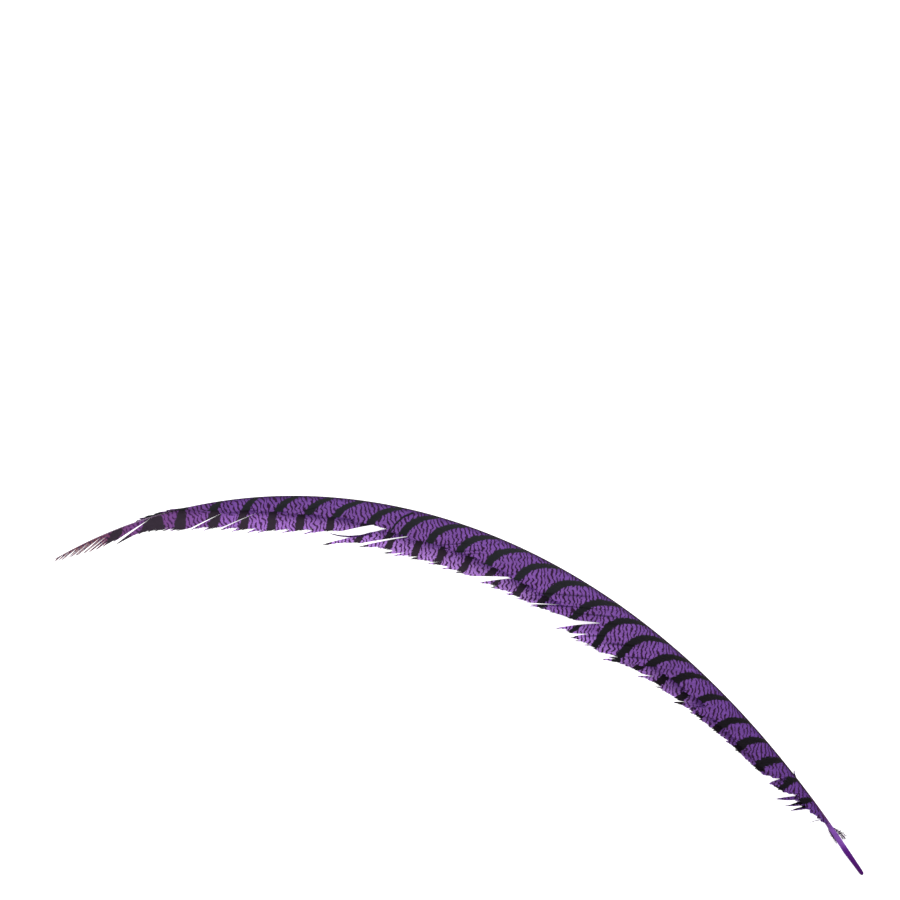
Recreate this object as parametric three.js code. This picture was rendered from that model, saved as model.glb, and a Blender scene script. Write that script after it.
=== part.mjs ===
// A dyed tail feather of a Lady Amherst's pheasant, lying on its side on a flat surface.
// The shaft bows in the plane of that surface, and both vanes hang on the hollow side of the bow. The lower
// vane lies flat. The upper one springs from the top of the shaft and arches over it, so that in cross
// section they are a V on its side with the shaft at its fold. Two small tufts of down sit on the quill,
// below the place where the web begins.
//
// Units are millimetres, +Z is up, and the surface is z = 0. The straight line from quill to tip runs along
// -X, the back of the bow faces +Y, and the origin is under the middle of the feather's bounding box.
// "Along" is a distance along the back of the shaft towards the tip, from a mark just inside the quill's end,
// and "inward" is a distance from that back, square to it, towards the hollow of the bow.
import * as THREE from "three";
import { mergeVertices } from "three/addons/utils/BufferGeometryUtils.js";

// ---- Driving dimensions -------------------------------------------------------------------------------

const SHAFT_LENGTH = 560; // along the curve, from the mark to the tip
const QUILL_END = -2.7; // the shaft begins this far before the mark
// The shaft's heading in degrees at a share f of its length: a + b f + c f^2 + d f^3. -X is 180.
const HEADING = [144, 32.1, 77, -21.7];

const QUILL_END_WIDTH = 2.4; // where the rounded end begins
const QUILL_ROUNDING = 1.6; // length of the rounded end
const QUILL_WIDTH = 3.45; // at its thickest
const QUILL_THICKEST_AT = 14;
const WEB_START = 34; // where the quill ends and the web begins
const WEB_START_WIDTH = 2.8;
const RACHIS_START = 60; // from here the shaft tapers evenly
const RACHIS_START_WIDTH = 2.3;
const TIP_WIDTH = 0.35;

const WEB_THICKNESS = 0.55;
const CLEARANCE = 0.3; // between pieces that touch on the real feather

// Width of each vane, measured inward from the back of the shaft: [along, width].
const LOWER_VANE_WIDTH = [
  [34, 3.4], [46, 6.5], [55, 10], [70, 12.5], [96, 16.5], [125, 19.5], [165, 23], [200, 29.5], [230, 29.5],
  [245, 26.5], [375, 26.5], [390, 21], [436, 19.5], [465, 14.5], [500, 8.5], [530, 5.5], [558, 1.6],
];
const UPPER_VANE_WIDTH = [
  [34, 3.2], [46, 6], [55, 9], [85, 14], [140, 16.5], [175, 18], [205, 25.5], [238, 25], [255, 18.5],
  [345, 17], [385, 13], [430, 9.5], [470, 5.5], [500, 2.4],
];
// The upper vane arches up from the shaft: [along, how far its crown stands above the shaft].
const ARCH_RISE = [
  [34, 3], [70, 7], [130, 9.5], [215, 11.5], [290, 11], [370, 9], [440, 6], [500, 2.5],
];
const ARCH_SPAN = 24; // inward, the crown is at about two thirds of this
const VANE_LOCKS = { lower: 40, upper: 35 }; // the web parts into this many locks of barbs
const LOCK_NOTCH = 0.13; // depth of the notch between two locks, as a share of the vane's width

const DOWN_TUFT_START = 22;
const DOWN_TUFT_LENGTH = 12;
const DOWN_TUFT_WIDTH = 2.6; // at its loose end, which points back towards the quill's end
const DOWN_TUFT_FOOT = 0.4; // its width where it grows from the quill
const DOWN_TUFT_THICKNESS = 0.8;

// ---- The shaft's line ---------------------------------------------------------------------------------

const LINE_STEP = 0.5;

function headingAt(along) {
  const share = along / SHAFT_LENGTH;
  const [a, b, c, d] = HEADING;
  return THREE.MathUtils.degToRad(a + b * share + c * share ** 2 + d * share ** 3);
}

// Points along the back of the shaft, LINE_STEP apart, from the mark at 0, 0.
const linePoints = [new THREE.Vector2(0, 0)];
for (let along = 0; along < SHAFT_LENGTH; along += LINE_STEP) {
  const heading = headingAt(along + LINE_STEP / 2);
  const step = new THREE.Vector2(Math.cos(heading), Math.sin(heading)).multiplyScalar(LINE_STEP);
  linePoints.push(linePoints.at(-1).clone().add(step));
}

// Before the mark the line runs on straight.
function pointAt(along, inward, height) {
  const place = Math.min(along / LINE_STEP, linePoints.length - 1);
  const index = THREE.MathUtils.clamp(Math.floor(place), 0, linePoints.length - 2);
  const back = linePoints[index].clone().lerp(linePoints[index + 1], place - index);
  const heading = headingAt(along);
  return new THREE.Vector3(
    back.x - Math.sin(heading) * inward,
    back.y + Math.cos(heading) * inward,
    height,
  );
}

// ---- Profiles along the shaft -------------------------------------------------------------------------

// The value at a station, in straight lines from each [station, value] pair to the next.
function through(pairs, station) {
  const next = pairs.findIndex(([at]) => station <= at);
  if (next === 0) return pairs[0][1];
  if (next < 0) return pairs.at(-1)[1];
  const [from, low] = pairs[next - 1];
  const [to, high] = pairs[next];
  return THREE.MathUtils.mapLinear(station, from, to, low, high);
}

const SHAFT_WIDTH = [
  [QUILL_END, QUILL_END_WIDTH],
  [QUILL_THICKEST_AT, QUILL_WIDTH],
  [WEB_START, WEB_START_WIDTH],
  [RACHIS_START, RACHIS_START_WIDTH],
  [SHAFT_LENGTH, TIP_WIDTH],
];

// The shaft is as deep as it is wide. Its end is a dome with a small flat on it.
const DOME_FLAT = 0.15; // the flat's area, as a share of the quill's section there
function shaftWidth(along) {
  const toDome = 1 - Math.min((along - QUILL_END) / QUILL_ROUNDING, 1);
  return through(SHAFT_WIDTH, along) * Math.sqrt(1 - (1 - DOME_FLAT) * toDome ** 2);
}

// Each lock of barbs widens to a point on its tip side, where the edge drops back to the next lock.
const STATIONS_PER_LOCK = 3;
function lockShare(share, locks) {
  const station = Math.round(share * locks * STATIONS_PER_LOCK) % STATIONS_PER_LOCK;
  return 1 - LOCK_NOTCH * (1 - station / (STATIONS_PER_LOCK - 1));
}

// ---- Sub-parts ----------------------------------------------------------------------------------------

// Sends each vertex of a geometry in a box of side 1 about the origin to where place(u, v, w) says, with
// u, v and w from 0 to 1 across that box.
function shaped(geometry, place) {
  geometry.deleteAttribute("normal");
  geometry.deleteAttribute("uv");
  const merged = mergeVertices(geometry, 1e-5);
  const position = merged.getAttribute("position");
  for (let i = 0; i < position.count; i++) {
    const point = place(position.getX(i) + 0.5, position.getY(i) + 0.5, position.getZ(i) + 0.5);
    position.setXYZ(i, point.x, point.y, point.z);
  }
  merged.computeVertexNormals();
  return merged;
}

// Quill and rachis are one tapering rod of horn, round in section, which lies on the surface all along.
const SHAFT_SIDES = 12;
const SHAFT_STATIONS = 72;
const STATION_SPREAD = 0.8; // from 0, evenly spaced, to 1, crowded at the rounded end
function shaftGeometry() {
  const rod = new THREE.CylinderGeometry(0.5, 0.5, 1, SHAFT_SIDES, SHAFT_STATIONS);
  return shaped(rod, (u, v, w) => {
    const share = THREE.MathUtils.lerp(v, v * v, STATION_SPREAD);
    const along = THREE.MathUtils.lerp(QUILL_END, SHAFT_LENGTH, share);
    const width = shaftWidth(along);
    const full = through(SHAFT_WIDTH, along);
    const inward = full / 2 + (0.5 - w) * width;
    const height = full / 2 + (0.5 - u) * width;
    return pointAt(along, inward, height);
  });
}

// A vane is a thin strip. place(along, across, up, share) gives its points, with across from 0 at the shaft
// to 1 at the free edge, up 0 on its underside and 1 on top, and share from 0 to 1 along it.
const VANE_ROWS = 5;
function vaneGeometry(widths, locks, place) {
  const end = widths.at(-1)[0];
  const strip = new THREE.BoxGeometry(1, 1, 1, locks * STATIONS_PER_LOCK, VANE_ROWS, 1);
  return shaped(strip, (u, v, w) => place(THREE.MathUtils.lerp(WEB_START, end, 1 - u), 1 - v, w, 1 - u));
}

// The lower vane lies flat on the surface, from just clear of the shaft to its notched edge.
function lowerVaneGeometry() {
  const locks = VANE_LOCKS.lower;
  return vaneGeometry(LOWER_VANE_WIDTH, locks, (along, across, up, share) => {
    const root = shaftWidth(along) + CLEARANCE;
    const edge = Math.max(through(LOWER_VANE_WIDTH, along) * lockShare(share, locks), root + 0.5);
    return pointAt(along, THREE.MathUtils.lerp(root, edge, across), up * WEB_THICKNESS);
  });
}

// How far the upper vane stands above the shaft: steep at the shaft, level at the crown, then dropping.
const ARCH_STEEPNESS = 2.4;
const ARCH_DROP = 0.22;
function archRise(along, inward) {
  const reach = Math.min(inward / ARCH_SPAN, 1);
  const profile = (1 - (1 - reach) ** ARCH_STEEPNESS) * (1 - ARCH_DROP * reach ** 2);
  return through(ARCH_RISE, along) * profile;
}

// The upper vane springs from the top of the shaft, near its back, and arches over the lower one.
const UPPER_ROOT = 0.2; // how far in from the shaft's back it springs, as a share of the shaft's width
function upperVaneGeometry() {
  const locks = VANE_LOCKS.upper;
  return vaneGeometry(UPPER_VANE_WIDTH, locks, (along, across, up, share) => {
    const root = UPPER_ROOT * shaftWidth(along);
    const edge = Math.max(through(UPPER_VANE_WIDTH, along) * lockShare(share, locks), root + 0.5);
    const inward = THREE.MathUtils.lerp(root, edge, across);
    const height = shaftWidth(along) + CLEARANCE + archRise(along, inward - root);
    return pointAt(along, inward, height + up * WEB_THICKNESS);
  });
}

// A tuft of down is a flat wedge beside the quill, outside the bow for side -1 and inside it for side 1.
function downTuftGeometry(side) {
  const wedge = new THREE.BoxGeometry(1, 1, 1, 4, 2, 1);
  return shaped(wedge, (u, v, w) => {
    const along = DOWN_TUFT_START + DOWN_TUFT_LENGTH * (1 - u);
    const spread = side > 0 ? 1 - v : v; // keeps the faces pointing out on both sides
    const reach = THREE.MathUtils.lerp(DOWN_TUFT_FOOT, DOWN_TUFT_WIDTH, u) * spread;
    const inward = side > 0 ? shaftWidth(along) + CLEARANCE + reach : -CLEARANCE - reach;
    return pointAt(along, inward, shaftWidth(along) / 2 + (w - 0.5) * DOWN_TUFT_THICKNESS);
  });
}

// ---- The feather --------------------------------------------------------------------------------------

const horn = new THREE.MeshStandardMaterial({ color: 0x6a3a8c, roughness: 0.35, metalness: 0 });
const outerWeb = new THREE.MeshStandardMaterial({ color: 0x6e4896, roughness: 0.6, metalness: 0 });
const innerWeb = new THREE.MeshStandardMaterial({ color: 0x9669bb, roughness: 0.65, metalness: 0 });
const down = new THREE.MeshStandardMaterial({ color: 0x5a3a58, roughness: 0.9, metalness: 0 });

const feather = new THREE.Group();
function add(name, geometry, material) {
  const mesh = new THREE.Mesh(geometry, material);
  mesh.name = name;
  feather.add(mesh);
}

add("shaft", shaftGeometry(), horn);
add("lower_vane", lowerVaneGeometry(), innerWeb);
add("upper_vane", upperVaneGeometry(), outerWeb);
add("down_tuft_outside", downTuftGeometry(-1), down);
add("down_tuft_inside", downTuftGeometry(1), down);

const middle = new THREE.Box3().setFromObject(feather).getCenter(new THREE.Vector3());
feather.position.set(-middle.x, -middle.y, 0);

export default feather;
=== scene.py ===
# %% [markdown]
# # A dyed pheasant tail feather
#
# A tail feather is a rod of horn with a web of barbs on each side. The rod is the quill where it is bare and
# the rachis where it carries the webs. Each barb is a flat blade a few tenths of a millimetre wide, hooked to
# the next one, and hundreds of them make a web. This feather lies on its side: both webs hang on the hollow
# side of the bow, the lower one flat on the floor and the upper one arched over it.
#
# Lengths are in millimetres until a mesh is written. "Along" is a distance along the back of the shaft from a
# mark just inside the quill's end, "inward" is a distance from that back towards the hollow of the bow, and
# "height" is above the floor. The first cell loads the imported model, whose frame every piece shares.

# %% Load the frame
import math

import bpy
import numpy as np
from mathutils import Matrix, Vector


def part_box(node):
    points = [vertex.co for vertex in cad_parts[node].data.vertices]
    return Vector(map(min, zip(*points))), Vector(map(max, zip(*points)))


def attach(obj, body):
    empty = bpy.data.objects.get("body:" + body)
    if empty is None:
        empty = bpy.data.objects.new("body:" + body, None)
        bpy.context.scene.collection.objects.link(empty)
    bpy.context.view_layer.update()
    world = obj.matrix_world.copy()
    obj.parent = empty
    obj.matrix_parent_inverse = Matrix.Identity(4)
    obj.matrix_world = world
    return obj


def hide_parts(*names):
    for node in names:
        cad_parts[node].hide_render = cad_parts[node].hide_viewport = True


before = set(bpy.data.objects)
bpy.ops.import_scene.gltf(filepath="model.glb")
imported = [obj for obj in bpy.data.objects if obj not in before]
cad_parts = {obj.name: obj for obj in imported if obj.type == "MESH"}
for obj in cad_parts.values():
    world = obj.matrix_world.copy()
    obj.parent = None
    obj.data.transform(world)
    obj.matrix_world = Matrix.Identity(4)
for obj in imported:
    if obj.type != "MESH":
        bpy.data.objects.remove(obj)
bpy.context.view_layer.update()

MM = 0.001
dice = np.random.default_rng(11)

# %% [markdown]
# ## Small tools
#
# A colour is given as an sRGB hex value, but Blender's nodes work in linear light, so one function
# turns one into the other. Another adds a shader node, sets it and links it in one call, which keeps a
# material readable as a recipe. A third reads a profile: straight lines between a few measured stations.


# %% Colour, material and profile helpers
def paint(code):
    """Linear RGBA from an sRGB hex code such as 7A4FA0."""
    parts = [int(code[i : i + 2], 16) / 255 for i in (0, 2, 4)]
    linear = [c / 12.92 if c <= 0.04045 else ((c + 0.055) / 1.055) ** 2.4 for c in parts]
    return (*linear, 1.0)


def start_material(name):
    """A new material, with its node tree and its shader."""
    material = bpy.data.materials.new(name)
    material.use_nodes = True
    return material, material.node_tree, material.node_tree.nodes["Principled BSDF"]


def fill_inputs(tree, node, inputs):
    """Links a socket, or the first output that a node has in use, and sets anything else as a value."""
    for name, value in inputs.items():
        if isinstance(value, bpy.types.Node):
            value = next(output for output in value.outputs if output.enabled)
        if isinstance(value, bpy.types.NodeSocket):
            tree.links.new(value, node.inputs[name])
        else:
            node.inputs[name].default_value = value


def add_node(tree, kind, inputs=None, **settings):
    """Adds a shader node. Its settings come first, because they decide which sockets it uses."""
    node = tree.nodes.new("ShaderNode" + kind)
    for name, value in settings.items():
        setattr(node, name, value)
    fill_inputs(tree, node, inputs or {})
    return node


def fill_ramp(ramp_node, stops):
    """Gives a colour ramp its stops, each a place from 0 to 1 and a hex code."""
    elements = ramp_node.color_ramp.elements
    while len(elements) < len(stops):
        elements.new(0.5)
    for element, (mark, code) in zip(elements, stops):
        element.position = mark
        element.color = paint(code)


def through(stations, at):
    """The value at a place, in straight lines from each (place, value) to the next."""
    places, values = zip(*stations)
    return np.interp(at, places, values)


def smooth(low, high, at):
    """0 below low, 1 above high, and an S between them."""
    share = np.clip((at - low) / (high - low), 0, 1)
    return share * share * (3 - 2 * share)


# %% [markdown]
# ## The line of the shaft
#
# The whole feather follows one bowed line, the back of the shaft. It is written as a heading that turns
# smoothly with the share of the length, and added up in short steps. The CAD model was built on the same
# line, so the tip and the crown of the bow give the two offsets that bring it to its place in the frame.

# %% The shaft's line and the web's coordinates
SHAFT_LENGTH = 560
QUILL_END = -2.7  # the shaft begins this far before the mark that "along" starts from
HEADING = (144, 32.1, 77, -21.7)  # degrees: a + b f + c f^2 + d f^3 at a share f of the length
LINE_STEP = 0.5
LINE_MARKS = np.arange(0, SHAFT_LENGTH + 20, LINE_STEP)


def heading_at(along):
    share = np.asarray(along) / SHAFT_LENGTH
    return np.radians(sum(term * share**power for power, term in enumerate(HEADING)))


step_headings = heading_at(LINE_MARKS[:-1] + LINE_STEP / 2)
LINE_X = np.concatenate([[0], np.cumsum(np.cos(step_headings)) * LINE_STEP])
LINE_Y = np.concatenate([[0], np.cumsum(np.sin(step_headings)) * LINE_STEP])

shaft_low, shaft_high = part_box("shaft")
LINE_X += shaft_low.x / MM - np.interp(SHAFT_LENGTH, LINE_MARKS, LINE_X)
LINE_Y += shaft_high.y / MM - LINE_Y.max()


def place(along, inward, height):
    """Points of the frame, in millimetres, from the web's own coordinates."""
    heading = heading_at(along)
    before_mark = np.minimum(along, 0)  # there the line runs on straight
    x = np.interp(along, LINE_MARKS, LINE_X) - np.sin(heading) * inward + np.cos(heading) * before_mark
    y = np.interp(along, LINE_MARKS, LINE_Y) + np.cos(heading) * inward + np.sin(heading) * before_mark
    return np.stack(np.broadcast_arrays(x, y, height), axis=-1)


print("quill end at", place(QUILL_END, 0, 0).round(1), "and tip at", place(SHAFT_LENGTH, 0, 0).round(1))

# %% [markdown]
# ## Camera, light and floor
#
# The camera looks straight down, as over a copy stand, and is turned so that the feather runs from the lower
# right to the left. A long lens keeps the perspective flat. A white world gives an even fill that shows the
# colour of the dye, and two wide area lights, one on each side, give the horn its gloss and the webs their
# shading. The floor is a light table, so that gaps between barbs show white and the shadow is faint.

# %% Camera
LENS = 100
SENSOR = 36
FIELD_WIDTH = 522.7  # width of the picture at the feather
VIEW_CENTRE = (-59.55, 91.44)
VIEW_TURN = 20.88  # degrees, so that "up" in the picture is 110.88 degrees in the frame
FEATHER_LEVEL = 2  # height that FIELD_WIDTH is measured at

camera = bpy.data.objects.new("camera", bpy.data.cameras.new("camera"))
camera.data.lens = LENS
camera.data.sensor_width = SENSOR
camera.data.clip_end = 20
camera.location = (
    VIEW_CENTRE[0] * MM,
    VIEW_CENTRE[1] * MM,
    (FIELD_WIDTH * LENS / SENSOR + FEATHER_LEVEL) * MM,
)
camera.rotation_euler = (0, 0, math.radians(VIEW_TURN))
bpy.context.collection.objects.link(camera)
bpy.context.scene.camera = camera
print("camera height in mm:", round(camera.location.z / MM))


# %% Light
KEY_WATTS = 20
FILL_WATTS = 9
WORLD_STRENGTH = 0.72


def add_area_light(name, location, size, watts):
    """A square light that shines at the middle of the feather. Its place and size are in metres."""
    light = bpy.data.objects.new(name, bpy.data.lights.new(name, "AREA"))
    light.data.size = size
    light.data.energy = watts
    light.location = location
    middle = Vector((VIEW_CENTRE[0] * MM, 0, 0))
    light.rotation_euler = (light.location - middle).to_track_quat("Z", "Y").to_euler()
    bpy.context.collection.objects.link(light)


add_area_light("key_light", (0.5, 1.1, 1.5), 1.4, KEY_WATTS)
add_area_light("fill_light", (-0.9, -0.8, 1.4), 1.6, FILL_WATTS)

world = bpy.data.worlds.new("studio")
world.use_nodes = True
background = world.node_tree.nodes["Background"]
fill_inputs(world.node_tree, background, {"Color": paint("FFFFFF"), "Strength": WORLD_STRENGTH})
bpy.context.scene.world = world
bpy.context.scene.view_settings.view_transform = "Standard"


# %% Floor
TABLE_MOTTLE = 120.0  # per metre, so a mottle of about 8 mm
TABLE_GLOW = 0.6


def frosted_light_table():
    """Opal acrylic lit from below, with a faint mottle: its own light washes out the shadow on it."""
    material, tree, shader = start_material("frosted_light_table")
    where = add_node(tree, "TexCoord").outputs["Object"]
    mottle = add_node(tree, "TexNoise", {"Vector": where, "Scale": TABLE_MOTTLE})
    tint = add_node(tree, "Mix", {"Factor": mottle, 6: paint("FBFBFB"), 7: paint("FFFFFF")}, data_type="RGBA")
    fill_inputs(tree, shader, {"Base Color": tint, "Roughness": 0.9, "Specular IOR Level": 0.1})
    fill_inputs(tree, shader, {"Emission Color": paint("FFFFFF"), "Emission Strength": TABLE_GLOW})
    return material


bpy.ops.object.select_all(action="DESELECT")
bpy.ops.mesh.primitive_plane_add(size=8, location=(0, 0, 0))
floor = bpy.context.object
floor.name = "floor"
floor.data.materials.append(frosted_light_table())

# %% [markdown]
# ## The quill and rachis
#
# The shaft is one tapering rod of keratin, the horn of claws and beaks. It starts as a round closed quill.
# Where the webs begin it becomes the rachis, which has a groove along its hollow side. It is modelled as a
# straight rod: a circle is added at the quill's end and extruded ring by ring, each ring scaled to the width
# there. Then the rings are laid along the bowed line. Rings are close together at the rounded end, where the
# width changes quickly, and far apart on the slow taper.

# %% The shaft's width and its rings
DOME_LENGTH = 1.6
DOME_FLAT = 0.15  # share of the section that is left at the very end
WEB_START = 34
SHAFT_WIDTH = ((QUILL_END, 2.4), (14, 3.45), (WEB_START, 2.8), (60, 2.3), (SHAFT_LENGTH, 0.35))
SHAFT_SIDES = 20
DOME_RINGS = (0.0, 0.15, 0.4, 0.75, 1.15, DOME_LENGTH)  # from the end
GROOVE_DEPTH = 0.22  # share of the rachis' width


def full_width(along):
    return through(SHAFT_WIDTH, along)


def shaft_width(along):
    """The width with the dome at the quill's end."""
    to_dome = 1 - np.minimum((np.asarray(along) - QUILL_END) / DOME_LENGTH, 1)
    return full_width(along) * np.sqrt(1 - (1 - DOME_FLAT) * to_dome**2)


dome_rings = [QUILL_END + from_end for from_end in DOME_RINGS]
rings = [*dome_rings, *np.arange(0, 36, 1.5), *np.arange(36, 556, 4), SHAFT_LENGTH - 2, SHAFT_LENGTH]

# %% Extrude the rod
bpy.ops.object.select_all(action="DESELECT")
bpy.ops.mesh.primitive_circle_add(
    vertices=SHAFT_SIDES,
    radius=shaft_width(QUILL_END) / 2,
    fill_type="NGON",
    location=(QUILL_END, 0, 0),
    rotation=(0, math.radians(90), 0),
)
bpy.ops.object.transform_apply(location=True, rotation=True)
shaft = bpy.context.object
shaft.name = "quill_and_rachis"
bpy.ops.object.mode_set(mode="EDIT")
for near, far in zip(rings, rings[1:]):
    growth = shaft_width(far) / shaft_width(near)
    bpy.ops.mesh.extrude_region_move(TRANSFORM_OT_translate={"value": (far - near, 0, 0)})
    bpy.ops.transform.resize(value=(1, growth, growth), center_override=(far, 0, 0))
bpy.ops.mesh.select_all(action="SELECT")
bpy.ops.mesh.normals_make_consistent(inside=False)
bpy.ops.object.mode_set(mode="OBJECT")

# %% [markdown]
# A quill's end has a small pit, the hole that the blood vessel used. The end face is found by its normal,
# inset and pushed in. Then every vertex is laid on the line: its place on the straight rod gives along,
# inward and height. The rod lies on the floor all the way, so its middle is half its width up.

# %% Pit, groove and bow
PIT_RIM = 0.25
PIT_DEPTH = 0.5

bpy.ops.object.mode_set(mode="EDIT")
bpy.ops.mesh.select_all(action="DESELECT")
bpy.ops.object.mode_set(mode="OBJECT")
for face in shaft.data.polygons:
    face.select = face.normal.x < -0.99 and len(face.vertices) == SHAFT_SIDES
bpy.ops.object.mode_set(mode="EDIT")
bpy.ops.mesh.inset(thickness=PIT_RIM)
bpy.ops.transform.translate(value=(PIT_DEPTH, 0, 0))
bpy.ops.object.mode_set(mode="OBJECT")

rod = np.array([vertex.co for vertex in shaft.data.vertices])
on_rod, inward_side, upward = rod.T
groove = smooth(WEB_START - 4, WEB_START + 16, on_rod) * GROOVE_DEPTH
facing_in = np.clip(inward_side / (0.5 * full_width(on_rod)), 0, 1) ** 6
rod_inward = 0.5 * full_width(on_rod) + inward_side - groove * facing_in * full_width(on_rod)
rod_height = 0.5 * full_width(on_rod) + upward
bowed = place(on_rod, rod_inward, rod_height) * MM
shaft.data.vertices.foreach_set("co", bowed.astype(np.float32).ravel())
along_attribute = shaft.data.attributes.new("along", "FLOAT", "POINT")
along_attribute.data.foreach_set("value", on_rod.astype(np.float32))
shaft.data.update()
bpy.ops.object.shade_smooth_by_angle(angle=math.radians(50))
print("shaft:", len(shaft.data.polygons), "faces")


# %% [markdown]
# ## Horn
#
# A quill is keratin, IOR 1.55, smooth enough to shine. Dye soaks into it unevenly: the closed end takes up
# most and is dark violet. The middle of the quill, from about 17 to 30 mm, is lighter, partly from the dye
# and partly as a painted highlight. The rachis is much darker, and pale near the tip. Fine lines run along
# it, and faint growth rings run round it. The tint follows the distance along the shaft, which is stored on
# the mesh as an attribute.


# %% Dyed quill material
# (distance along, colour); the lighter stops at 20 and 29 mm are partly painted highlight
HORN_TINTS_AND_HIGHLIGHT = (
    (0.0, "4C0E66"), (10, "541474"), (15, "5C1984"), (20, "844EAC"), (29, "8652AE"), (36, "5A3062"),
    (60, "2A1828"), (485, "342034"), (506, "B8A0BC"), (528, "A88CA4"), (560, "8C7080"),
)
HORN_STREAKS = (60.0, 1500.0, 1500.0)  # per metre, so lines of about 0.7 mm by 17 mm
HORN_ROUGHNESS = (0.24, 0.42)
GROWTH_RING = 2.6
GROWTH_RING_RELIEF = 0.15


def dyed_quill_horn():
    material, tree, shader = start_material("dyed_quill_horn")
    along = add_node(tree, "Attribute", attribute_name="along").outputs["Fac"]
    share = add_node(tree, "MapRange", {"Value": along, "From Max": float(SHAFT_LENGTH)})
    tint = add_node(tree, "ValToRGB", {"Fac": share})
    fill_ramp(tint, [(mark / SHAFT_LENGTH, code) for mark, code in HORN_TINTS_AND_HIGHLIGHT])

    where = add_node(tree, "TexCoord").outputs["Object"]
    drawn_out = add_node(tree, "Mapping", {"Vector": where, "Scale": HORN_STREAKS})
    streaks = add_node(tree, "TexNoise", {"Vector": drawn_out, "Scale": 1.0, "Detail": 3.0})
    pale = {6: paint("B0A4B4"), 7: paint("FFFFFF")}
    streaky = add_node(tree, "Mix", {"Factor": streaks, **pale}, data_type="RGBA")
    layers = {"Factor": 1.0, 6: tint, 7: streaky}
    body = add_node(tree, "Mix", layers, data_type="RGBA", blend_type="MULTIPLY")
    smoothest, roughest = HORN_ROUGHNESS
    gloss = add_node(tree, "MapRange", {"Value": streaks, "To Min": smoothest, "To Max": roughest})

    turns = add_node(tree, "Math", {0: along, 1: 2 * math.pi / GROWTH_RING}, operation="MULTIPLY")
    wave = add_node(tree, "Math", {0: turns}, operation="SINE")
    relief = add_node(tree, "Math", {0: wave, 1: GROWTH_RING_RELIEF, 2: streaks}, operation="MULTIPLY_ADD")
    bump = add_node(tree, "Bump", {"Height": relief, "Strength": 0.25, "Distance": 0.0001})
    fill_inputs(tree, shader, {"Base Color": body, "Roughness": gloss, "Normal": bump, "IOR": 1.55})
    fill_inputs(tree, shader, {"Specular IOR Level": 0.06})  # handling has dulled it
    return material


shaft.data.materials.append(dyed_quill_horn())
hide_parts("shaft")
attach(shaft, "root")

# %% [markdown]
# ## One barb
#
# A barb is a thin blade that tapers to a hair. All the barbs of both webs are copies of this one, so it has
# only a few dozen faces. It is one unit long and one unit wide. A four-sided circle standing on a corner
# gives it a ridge on top and one below. It is extruded station by station and scaled down towards the tip,
# where the last ring is merged to a point.

# %% Model the barb
# (share of the barb's length, width there as a share of the full width)
BARB_PROFILE = (
    (0, 0.8), (0.04, 1), (0.1, 1), (0.18, 1), (0.27, 1), (0.36, 1), (0.46, 1), (0.56, 1), (0.66, 1),
    (0.76, 1), (0.86, 1), (0.94, 0.95), (0.98, 0.65), (1, 0.15),
)
BARB_MARKS = np.array([mark for mark, _ in BARB_PROFILE])

bpy.ops.object.select_all(action="DESELECT")
bpy.ops.mesh.primitive_circle_add(
    vertices=4, radius=BARB_PROFILE[0][1] / 2, fill_type="NGON", rotation=(0, math.radians(90), 0)
)
bpy.ops.object.transform_apply(rotation=True)
barb = bpy.context.object
bpy.ops.object.mode_set(mode="EDIT")
for (near, wide), (far, narrow) in zip(BARB_PROFILE, BARB_PROFILE[1:]):
    taper = narrow / wide
    bpy.ops.mesh.extrude_region_move(TRANSFORM_OT_translate={"value": (far - near, 0, 0)})
    bpy.ops.transform.resize(value=(1, taper, taper), center_override=(far, 0, 0))
bpy.ops.mesh.merge(type="CENTER")
bpy.ops.mesh.select_all(action="SELECT")
bpy.ops.mesh.normals_make_consistent(inside=False)
bpy.ops.object.mode_set(mode="OBJECT")

# %% Keep the barb as arrays
barb_points = np.array([vertex.co for vertex in barb.data.vertices])
barb_faces = [list(face.vertices) for face in barb.data.polygons]
barb_face_is_upper = np.array([face.normal.z > 0 for face in barb.data.polygons])
barb_ring = np.abs(barb_points[:, :1] - BARB_MARKS).argmin(axis=1)
bpy.data.objects.remove(barb)
print("one barb:", len(barb_faces), "faces,", len(barb_points), "points")

# %% [markdown]
# ## Laying copies of the barb
#
# Joining a thousand copies with operators would take minutes, so the copies are made as arrays and written as
# one mesh. Each barb is given the line it follows, as one point for each of its stations, and the direction
# its web faces. The copy's own width lies square to its line, in the web. Its shading values go with it as
# attributes. A UV map combs the barbs straight, side by side, upper faces in one row and lower faces in the
# other, so that a baked texture keeps every barb apart.


# %% The strand layer
def unit(vectors):
    return vectors / np.maximum(np.linalg.norm(vectors, axis=-1, keepdims=True), 1e-9)


COMB_ROW = 0.5  # each row's share of the map
COMB_MARGIN = 0.004


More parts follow.
